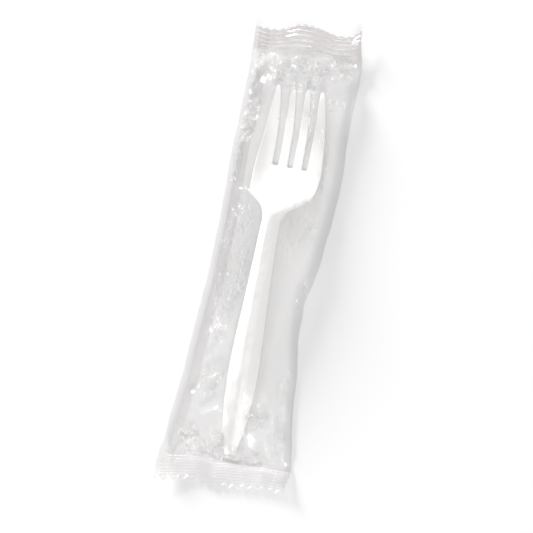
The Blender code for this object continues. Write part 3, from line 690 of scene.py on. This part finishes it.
def crimp(x, rows):
    """The ridges that the sealing jaws press into all the layers."""
    rows = rows + wobble(x, rows)
    bottom = BOTTOM_CRIMP * ridges(rows, BOTTOM_PITCH) * in_bottom_seal(rows)
    top = TOP_CRIMP * ridges(rows, TOP_PITCH) * in_top_seal(rows)
    return bottom * (1 + ripples(x, rows, 31, 0.4, 14.0)) + top * (1 + ripples(x, rows, 32, 0.35, 11.0))


def crimp_line(x, rows):
    """1 along each pressed ridge of the seals, where the film is whitened, and 0 between them."""
    top = ridges(rows + wobble(x, rows), TOP_PITCH) ** 3 * in_top_seal(rows)
    top = top * (1 + ripples(x, rows, 34, 0.5, 10.0))
    low = ridges(rows, BOTTOM_PITCH) ** 3 * in_bottom_seal(rows)
    return top + BOTTOM_WHITE * low * (1 + ripples(x, rows, 35, 0.7, 12.0))


print("ridges are", TOP_PITCH, "mm apart in the top seal and", BOTTOM_PITCH, "mm in the bottom seal")

# %% [markdown]
# Every row is shared out evenly between its two side folds, in finer steps over the fork, where the
# creases are. The fin's columns start at the left fold and run inwards.


# %%
# Place the sheet's columns across the pack
def strip(shares, bend):
    """X and Y of one part of the sheet between the two folds' inner ends, at these shares of the way."""
    rows = v[:, None]
    x_left = left_fold(rows) + bend
    x_right = right_fold(rows) - bend
    x = x_left + shares[None, :] * (x_right - x_left)
    return x, rows + cut_shift(x, rows, shares[None, :]), rows * np.ones_like(x)


edge = edge_height(v[:, None])
upper_x, upper_y, upper_v = strip(np.linspace(0, 1, UPPER + 1), edge / 2)
lower_x, lower_y, lower_v = strip(np.linspace(0, 1, LOWER + 1), edge / 2)
fin_share = np.linspace(0, 1, BACK + 1)
fin_x = upper_x[:, :1] + fin_share[None, :] * (FIN_INSET + FIN_WIDTH)
across = (fin_x - upper_x[:, :1]) / (upper_x[:, -1:] - upper_x[:, :1])
fin_y = v[:, None] + cut_shift(fin_x, v[:, None], across)
fin_v = v[:, None] * np.ones_like(fin_x)
narrowest = (upper_x[:, -1] - upper_x[:, 0]).min()
print("upper film between its folds:", narrowest.round(1), "mm where it is narrowest")

# %% [markdown]
# The creases are added to the upper film only, and never push it into the fork: the film's height is
# held a little above the fork's own top, found with the same form that pressed the fork. The tent runs
# down softly to the bottom seal, except right above the fork's tail, which holds it up.

# %%
# Find every layer's height
CLEAR_OF_FORK = 0.15
pouch = 1 - seal_share(upper_v)
tent = tent_height(upper_x, upper_y)
folds = np.minimum(upper_x - upper_x[:, :1], upper_x[:, -1:] - upper_x)
room = ramp(folds, 0.0, 2.5)
soft, sharp = crease_field(upper_x, upper_y, CREASES + small + pleats)
soft += ripples(upper_x, upper_y, 41, 0.08, 16.0) + ripples(upper_x, upper_y, 42, 0.03, 5.0)
large = crease_field(upper_x, upper_y, [fold + (1.0,) for fold in LARGE_FOLDS])[0]
large = (large + gather_height(upper_x, upper_y)) * pouch * fold_room(upper_x, upper_y)
local_x = upper_x - fork_middle(upper_y)
local_y = np.clip(upper_y - Y_TAIL, 0.0, FORK_LENGTH)
on_fork = 1 - ramp(np.abs(local_x), half_width(local_y), half_width(local_y) + 0.8)
on_fork = on_fork * ramp(upper_y, Y_TAIL - 1, Y_TAIL) * (1 - ramp(upper_y, Y_TIPS, Y_TIPS + 1))
fork_top = (FORK_BASE + WALL + CLEAR_OF_FORK + fork_rise(local_x, local_y)) * on_fork
least = np.maximum(3 * LAYER, fork_top)
near_tail = (1 - ramp(np.abs(local_x), 2.4, 5.0)) * ramp(upper_y, BOTTOM_SEAL, Y_TAIL + 1)
end_slope = ramp(upper_y, BOTTOM_SEAL - 1, BOTTOM_SEAL + 13)
tent = tent * between(end_slope, 1.0, near_tail)
upper_z = np.maximum(tent + large + soft * room, least)
top_seal_creases = np.maximum(soft, 0) * room * (1 - pouch) * (upper_y > PACK_LENGTH / 2)
upper_z = 3 * LAYER + (upper_z - 3 * LAYER) * pouch + top_seal_creases
upper_z += carrier(upper_x, upper_y) + crimp(upper_x, upper_v)
lower_z = carrier(lower_x, lower_y) + crimp(lower_x, lower_v)
under_fin = carrier(fin_x, fin_y) + crimp(fin_x, fin_v)
print("upper film: highest", upper_z.max().round(2), "mm, mean crease", np.abs(soft).mean().round(3), "mm")

# %% [markdown]
# Film bends round and never folds to a knife edge, so two layers are joined by a half circle. The parts
# are then put side by side in the order in which the sheet runs, as one grid of places.


# %%
# Join the layers with rounded bends
ROOT_BEND, OFF_THE_TABLE = 4, 0.025


def bend_between(x, y, z_from, z_to, side, steps):
    """A half circle that joins two layers at a fold; side is 1 on the right and -1 on the left."""
    radius = (z_to - z_from) / 2
    turns = np.linspace(-math.pi / 2, math.pi / 2, steps + 1)[1:-1][None, :]
    bulge = np.abs(radius) * np.cos(turns)
    return x + side * bulge, y * np.ones_like(bulge), (z_from + z_to) / 2 + radius * np.sin(turns)


fin_top, fin_bottom = under_fin + 2 * LAYER, under_fin + LAYER
right = bend_between(lower_x[:, -1:], upper_y[:, -1:], lower_z[:, -1:], upper_z[:, -1:], 1, BEND)
left = bend_between(upper_x[:, :1], upper_y[:, :1], upper_z[:, :1], fin_top[:, :1], -1, BEND)
root = bend_between(fin_x[:, -1:], fin_y[:, -1:], fin_top[:, -1:], fin_bottom[:, -1:], 1, ROOT_BEND)
start = int(np.argmax(lower_x[0] > fin_x[0, 1]))
parts = [
    (lower_x[:, start:], lower_y[:, start:], lower_z[:, start:]),
    right,
    (upper_x[:, ::-1], upper_y[:, ::-1], upper_z[:, ::-1]),
    left,
    (fin_x, fin_y, fin_top),
    root,
    (fin_x[:, :1:-1], fin_y[:, :1:-1], fin_bottom[:, :1:-1]),
]
sheet = np.stack([np.concatenate([p[i] for p in parts], axis=1) for i in range(3)], axis=-1)
sheet[:, :, 2] += OFF_THE_TABLE
lowest, highest = sheet.reshape(-1, 3).min(axis=0), sheet.reshape(-1, 3).max(axis=0)
print("film box, mm:", lowest.round(2), highest.round(2))

# %% [markdown]
# The same film looks different from place to place, so five numbers are kept for every place of the
# sheet and its finish reads them. Sharp creases and crimp lines are hazy, the seals are tinted a darker
# grey, squeezed patches are crumpled. The fin's layers touch each other and mirror little between them,
# and the side folds stop more of the light that comes in from the side.

# %%
# Say how each place of the sheet looks
PLAIN_HAZE, CRIMP_HAZE, BACK_HAZE, MOST_HAZE = 0.05, 0.3, -0.03, 0.6
seal_haze = 0.02 * (1 - ramp(v, BOTTOM_SEAL - 1, BOTTOM_SEAL + 0.5))
in_seal = ramp(v, Y_TOP_SEAL - 4, Y_TOP_SEAL + 2) + 0.22 * (1 - ramp(v, BOTTOM_SEAL - 4, BOTTOM_SEAL + 2))
first = parts[0][0].shape[1] + parts[1][0].shape[1]
over, behind = slice(first, first + UPPER + 1), slice(first + UPPER + 1, None)
grey = in_seal[:, None] * np.ones((1, sheet.shape[1]))
grey[:, behind] = 0.0
haze, touching, folded, crumpled = (np.zeros_like(grey) for _ in range(4))
haze[:, over] = np.clip(sharp * 0.3, 0, 0.22)[:, ::-1]
haze[:, behind] = BACK_HAZE
whitened = crimp_line(sheet[:, :, 0], v[:, None] * np.ones(sheet.shape[:2]))
haze = haze + seal_haze[:, None] + PLAIN_HAZE + CRIMP_HAZE * np.clip(whitened, 0, 1.3)
haze = np.clip(haze, 0, MOST_HAZE)
touching[:, behind] = 1.0
folded[:, parts[0][0].shape[1] : first] = 1.0
folded[:, over] = (1 - ramp(folds, 0.5, 3.5))[:, ::-1]
folded[:, first + UPPER + 1 : first + UPPER + BEND] = 1.0
crumpled[:, over] = (patch_share(upper_x, upper_y) * room)[:, ::-1]
looks = {"haze": haze, "grey": grey, "crumpled": crumpled, "touching": touching, "folded": folded}
print({name: float(values.mean().round(3)) for name, values in looks.items()})

# %% [markdown]
# The fin at the back is a mesh of its own, though it is the same sheet. Through it a ray meets so many
# clear layers that the renderer gives up and draws a dark band, which the photograph doesn't have, so
# the fin casts no shadow.


# %%
# Make the film and the fin
def sheet_piece(name, columns):
    """A smooth mesh of these columns of the sheet, with the values that its finish needs."""
    grid = sheet[:, columns]
    index = np.arange(grid.shape[0] * grid.shape[1]).reshape(grid.shape[:2])
    quads = np.stack([index[:-1, :-1], index[:-1, 1:], index[1:, 1:], index[1:, :-1]], axis=-1).reshape(-1, 4)
    mesh = bpy.data.meshes.new(name)
    mesh.vertices.add(index.size)
    mesh.vertices.foreach_set("co", ((grid.reshape(-1, 3) + ORIGIN) / 1000).astype(np.float32).ravel())
    mesh.loops.add(quads.size)
    mesh.loops.foreach_set("vertex_index", quads.astype(np.int32).ravel())
    mesh.polygons.add(len(quads))
    mesh.polygons.foreach_set("loop_start", (np.arange(len(quads)) * 4).astype(np.int32))
    mesh.update(calc_edges=True)
    mesh.validate()
    mesh.shade_smooth()
    for title, values in looks.items():
        layer = mesh.attributes.new(title, "FLOAT", "POINT")
        layer.data.foreach_set("value", values[:, columns].astype(np.float32).ravel())
    piece = bpy.data.objects.new(name, mesh)
    bpy.context.scene.collection.objects.link(piece)
    return piece


fin_start = first + UPPER + BEND
film = sheet_piece("clear_film", slice(0, fin_start + 1))
fin = sheet_piece("fin_seal", slice(fin_start, None))
fin.visible_shadow = False
print("triangles in the film:", 2 * len(film.data.polygons), "and in the fin:", 2 * len(fin.data.polygons))

# %% [markdown]
# ## The fork's finish
#
# The fork is smooth white polypropylene with a soft sheen. Mirror-smooth white would look like china,
# so a slow swell and a very fine grain bend its highlights a little, as on moulded plastic.


# %%
# Make the tools for finishes
def new_material(name):
    material = bpy.data.materials.new(name)
    material.use_nodes = True
    return material, material.node_tree.nodes, material.node_tree.links


def add(nodes, kind, **values):
    """A new node with these values in its sockets."""
    node = nodes.new(kind)
    for socket, value in values.items():
        node.inputs[socket].default_value = value
    return node


def number(nodes, links, operation, first, second):
    node = nodes.new("ShaderNodeMath")
    node.operation = operation
    for socket, value in zip(node.inputs, (first, second)):
        if isinstance(value, (int, float)):
            socket.default_value = value
        else:
            links.new(value, socket)
    return node.outputs[0]


def look(nodes, name):
    """What the sheet says about this place."""
    node = nodes.new("ShaderNodeAttribute")
    node.attribute_name = name
    return node.outputs["Fac"]


print("values that the film's finish reads:", list(looks))

# %% [markdown]
# The white is a little warm, and not quite 1, since no plastic gives back all the light.

# %%
# Make the white plastic
white_plastic, nodes, links = new_material("white_polypropylene")
shader = nodes["Principled BSDF"]
shader.inputs["Base Color"].default_value = (0.92, 0.915, 0.905, 1)
shader.inputs["Roughness"].default_value = 0.34
shader.inputs["IOR"].default_value = 1.49
coordinates = nodes.new("ShaderNodeTexCoord")
grain = add(nodes, "ShaderNodeTexNoise", Scale=900, Detail=3)
swell = add(nodes, "ShaderNodeTexNoise", Scale=60, Detail=2)
for texture in (grain, swell):
    links.new(coordinates.outputs["Object"], texture.inputs["Vector"])
fine = number(nodes, links, "MULTIPLY", grain.outputs["Fac"], 0.12)
dents = add(nodes, "ShaderNodeBump", Strength=0.35, Distance=0.0002)
links.new(number(nodes, links, "ADD", fine, swell.outputs["Fac"]), dents.inputs["Height"])
links.new(dents.outputs["Normal"], shader.inputs["Normal"])
fork.data.materials.append(white_plastic)
print("finish of the fork:", white_plastic.name)

# %% [markdown]
# ## The film's finish
#
# The mesh carries the folds that can be seen one by one. Two bumps carry what is finer: slow noise all
# over, because film is never flat, and in the crumpled patches a pattern of cells, bent by the same
# noise, whose borders look like the net of tiny creases that squeezed film keeps.

# %%
# Make the film's bumps
clear_film, nodes, links = new_material("clear_film")
nodes.remove(nodes["Principled BSDF"])
coordinates = nodes.new("ShaderNodeTexCoord")
wide = add(nodes, "ShaderNodeTexNoise", Scale=220, Detail=4, Distortion=1.0)
links.new(coordinates.outputs["Object"], wide.inputs["Vector"])
bump = add(nodes, "ShaderNodeBump", Strength=0.3, Distance=0.0004)
links.new(wide.outputs["Fac"], bump.inputs["Height"])
bent = nodes.new("ShaderNodeVectorMath")
bent.operation = "MULTIPLY_ADD"
bent.inputs[1].default_value = (0.003, 0.003, 0.003)
links.new(wide.outputs["Color"], bent.inputs[0])
links.new(coordinates.outputs["Object"], bent.inputs[2])
facets = add(nodes, "ShaderNodeTexVoronoi", Scale=900)
coarse = add(nodes, "ShaderNodeTexVoronoi", Scale=430)
for cells in (facets, coarse):
    cells.feature = "F1"
    links.new(bent.outputs["Vector"], cells.inputs["Vector"])
fine = number(nodes, links, "MULTIPLY", facets.outputs["Distance"], 0.4)
net = number(nodes, links, "ADD", fine, coarse.outputs["Distance"])
crinkles = add(nodes, "ShaderNodeBump", Strength=1.0, Distance=0.0013)
links.new(number(nodes, links, "MULTIPLY", net, look(nodes, "crumpled")), crinkles.inputs["Height"])
links.new(bump.outputs["Normal"], crinkles.inputs["Normal"])
film_normal = crinkles.outputs["Normal"]
print("nodes for the bumps:", len(nodes))

# %% [markdown]
# A thin film shows three things at once: what lies behind it, a mirror image of the room that grows
# where it stands steeply to the eye, and a trace of milky haze. Real glass would bend the view, and a
# sheet so thin doesn't, so the clear part is plain Transparent. Where two layers touch, the mirror
# image between them is almost gone. In the seals the clear part is tinted grey.

# %%
# Mix the clear, the milky and the mirrored part
MIRROR, STEEP_MIRROR, TOUCH_TAKES = 0.055, 0.85, 0.85
facing = add(nodes, "ShaderNodeLayerWeight", Blend=0.5)
links.new(film_normal, facing.inputs["Normal"])
steep = number(nodes, links, "POWER", facing.outputs["Facing"], 4.0)
mirrored = number(nodes, links, "ADD", number(nodes, links, "MULTIPLY", steep, STEEP_MIRROR), MIRROR)
touched = number(nodes, links, "MULTIPLY", look(nodes, "touching"), TOUCH_TAKES)
apart = number(nodes, links, "SUBTRACT", 1.0, touched)
mirrored = number(nodes, links, "MULTIPLY", mirrored, apart)
tint = nodes.new("ShaderNodeMix")
tint.data_type = "RGBA"
tint.inputs[6].default_value = (0.985, 0.981, 0.98, 1)
tint.inputs[7].default_value = (0.81, 0.795, 0.795, 1)
links.new(look(nodes, "grey"), tint.inputs[0])
clear = nodes.new("ShaderNodeBsdfTransparent")
links.new(tint.outputs[2], clear.inputs["Color"])
gloss = add(nodes, "ShaderNodeBsdfGlossy", Color=(1, 1, 1, 1), Roughness=0.12)
links.new(film_normal, gloss.inputs["Normal"])
MILK = (0.97, 0.965, 0.965, 1)
front_haze = add(nodes, "ShaderNodeBsdfDiffuse", Color=MILK)
links.new(film_normal, front_haze.inputs["Normal"])
back_haze = add(nodes, "ShaderNodeBsdfTranslucent", Color=MILK)


def mix(nodes, links, share, one, other):
    """A mix of two shaders; share is a number or a socket, 0 for the first and 1 for the other."""
    node = nodes.new("ShaderNodeMixShader")
    if isinstance(share, float):
        node.inputs["Fac"].default_value = share
    else:
        links.new(share, node.inputs["Fac"])
    links.new(one.outputs[0], node.inputs[1])
    links.new(other.outputs[0], node.inputs[2])
    return node


milky = mix(nodes, links, 0.35, front_haze, back_haze)
body = mix(nodes, links, look(nodes, "haze"), clear, milky)
surface = mix(nodes, links, mirrored, body, gloss)
print("nodes in the film's finish so far:", len(nodes))

# %% [markdown]
# Light from a lamp meets the film before it reaches the fork and the table. Light that falls squarely
# onto the film goes through. Light that comes in low is partly thrown back, and so is light that meets a
# side fold. The soft shadow beside the pack in the photograph comes from that. Is Shadow Ray tells the
# finish when a ray is asking for lamp light.

# %%
# Let the lamps' light through the film
LOW_LIGHT, LOW_GAIN, FOLD_STOPS = 0.36, 3.4, 0.7
low_light = number(nodes, links, "SUBTRACT", facing.outputs["Facing"], LOW_LIGHT)
stopped = number(nodes, links, "MULTIPLY", number(nodes, links, "MULTIPLY", low_light, LOW_GAIN), apart)
at_fold = number(nodes, links, "MULTIPLY", look(nodes, "folded"), FOLD_STOPS)
stopped = number(nodes, links, "MAXIMUM", stopped, at_fold)
open_way, no_way = nodes.new("ShaderNodeBsdfTransparent"), nodes.new("ShaderNodeBsdfDiffuse")
for_lamps = mix(nodes, links, stopped, open_way, no_way)
asking = nodes.new("ShaderNodeLightPath").outputs["Is Shadow Ray"]
cast = mix(nodes, links, asking, surface, for_lamps)
links.new(cast.outputs[0], nodes["Material Output"].inputs["Surface"])
for piece in (film, fin):
    piece.data.materials.append(clear_film)
print("finish of the film:", clear_film.name)

# %% [markdown]
# Every piece is now hung on the root body, and the CAD piece that it stands for is hidden. The fin
# and the film together stand for the one folded sheet.

# %%
# Tie the pieces to the CAD part
pieces = (
    (fork, "fork", "white_polypropylene"),
    (film, "film_wrapper", "clear_film"),
    (fin, "film_wrapper", "clear_film"),
)
for piece, node, finish in pieces:
    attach(piece, "root")
    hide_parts(node)
    print(piece.name, "stands for", node)

# %% [markdown]
# ## The table
#
# The photograph shows the pack on white with its own soft shadow. The table is light grey, to take the
# shadow, and it glows a little for rays that look at it or mirror it, so that it reads as white.


# %%
# Set the table
TABLE_GREY, TABLE_GLOW = 0.75, 0.14


def seen_by_eye(nodes, links):
    """1 for rays that look at a thing, straight, in a mirror or through glass, and 0 for all others."""
    path = nodes.new("ShaderNodeLightPath")
    seen = number(nodes, links, "MAXIMUM", path.outputs["Is Camera Ray"], path.outputs["Is Glossy Ray"])
    return number(nodes, links, "MAXIMUM", seen, path.outputs["Is Transmission Ray"])


bpy.ops.mesh.primitive_plane_add(size=6)
table = bpy.context.object
table.name = "table"
white_table, nodes, links = new_material("white_table")
nodes.remove(nodes["Principled BSDF"])
matt = add(nodes, "ShaderNodeBsdfDiffuse", Color=(TABLE_GREY, TABLE_GREY, TABLE_GREY, 1))
glow = nodes.new("ShaderNodeEmission")
links.new(number(nodes, links, "MULTIPLY", seen_by_eye(nodes, links), TABLE_GLOW), glow.inputs["Strength"])
both = nodes.new("ShaderNodeAddShader")
links.new(matt.outputs[0], both.inputs[0])
links.new(glow.outputs[0], both.inputs[1])
links.new(both.outputs[0], nodes["Material Output"].inputs["Surface"])
table.data.materials.append(white_table)
print("the table gives back", TABLE_GREY, "of the light and glows with", TABLE_GLOW)

# %% [markdown]
# ## The lamps
#
# The shadow in the photograph falls to the right and below, so one low lamp stands at the upper left.
# Much of the light is soft and comes from all round: the room itself and one wide lamp above. A smaller
# lamp at the lower right draws the bright lines on the creases. Crimp lines tilt along the pack, so they
# need a lamp beyond the top seal to flash at all. Each lamp's share of the light on a level white
# surface is printed. At 1 in all a colour renders about as it is written. Here they add up to about 1.2
# with the room's share, and the film lets less of that reach the fork.


# %%
# Hang the lamps
def hang_lamp(name, elevation, azimuth, distance, size, radiance):
    """A square lamp that looks at the pack; azimuth 0 is towards +X and 90 towards +Y."""
    up, round_ = math.radians(elevation), math.radians(azimuth)
    level = math.cos(up)
    place = Vector((level * math.cos(round_), level * math.sin(round_), math.sin(up))) * distance
    light = bpy.data.lights.new(name, "AREA")
    light.shape = "SQUARE"
    light.size = size
    light.energy = radiance * math.pi * size * size
    lamp = bpy.data.objects.new(name, light)
    lamp.location = place
    lamp.rotation_euler = (-place).to_track_quat("-Z", "Y").to_euler()
    bpy.context.scene.collection.objects.link(lamp)
    return lamp


key_lamp = hang_lamp("key_lamp", 52, -62, 2.2, 0.6, 12.2)
seal_lamp = hang_lamp("seal_lamp", 42, 114, 2.2, 0.5, 3.5)
top_lamp = hang_lamp("top_lamp", 64, -70, 2.4, 2.0, 0.95)
low_lamp = hang_lamp("low_lamp", 19, 142, 2.6, 0.8, 40.0)
for lamp in (key_lamp, seal_lamp, top_lamp, low_lamp):
    size, away = lamp.data.size, lamp.location.length
    radiance = lamp.data.energy / (math.pi * size**2)
    share = radiance * (size / away) ** 2 * lamp.location.normalized().z / math.pi
    print(lamp.name, "lights a level white surface to", round(share, 3))

# %% [markdown]
# The room is white for every ray that sees it or mirrors it, which is what the film's mirror image
# shows. As a source of light it is much weaker.

# %%
# Light the room
ROOM_LIGHT = 0.38
world = bpy.data.worlds.new("room")
world.use_nodes = True
nodes, links = world.node_tree.nodes, world.node_tree.links
room_shader = nodes["Background"]
room_shader.inputs["Color"].default_value = (1, 1, 1, 1)
strength = number(nodes, links, "MAXIMUM", seen_by_eye(nodes, links), ROOM_LIGHT)
links.new(strength, room_shader.inputs["Strength"])
bpy.context.scene.world = world
print("the room lights a level white surface to", ROOM_LIGHT)

# %% [markdown]
# ## The camera
#
# The photograph was taken from above, fifteen degrees to the pack's right, and the pack lies about
# eleven degrees turned in the picture. The camera stands 900 mm away, so that the pack is drawn with
# next to no perspective, as the photograph is.

# %%
# Place the camera
TILT, ROLL, DISTANCE, PICTURE_WIDTH = math.radians(15), (0.9808, 0.1953), 900.0, 221.2
PICTURE_MIDDLE, SENSOR = (0.31, 93.0, 0.0), 36
across = Vector((math.cos(TILT), 0, -math.sin(TILT)))
along = Vector((0, 1, 0))
camera_right = ROLL[0] * across + ROLL[1] * along
camera_up = -ROLL[1] * across + ROLL[0] * along
view = Vector((-math.sin(TILT), 0, -math.cos(TILT)))
target = Vector(PICTURE_MIDDLE) + Vector(ORIGIN)
camera_data = bpy.data.cameras.new("camera")
camera_data.sensor_width = SENSOR
camera_data.lens = SENSOR * DISTANCE / PICTURE_WIDTH
camera = bpy.data.objects.new("camera", camera_data)
bpy.context.scene.collection.objects.link(camera)
frame_of_view = Matrix((camera_right, camera_up, -view)).transposed().to_4x4()
camera.matrix_world = Matrix.Translation((target - view * DISTANCE) / 1000) @ frame_of_view
bpy.context.scene.camera = camera
bpy.context.scene.view_settings.view_transform = "Standard"
print("camera at", tuple(round(c, 3) for c in camera.location))
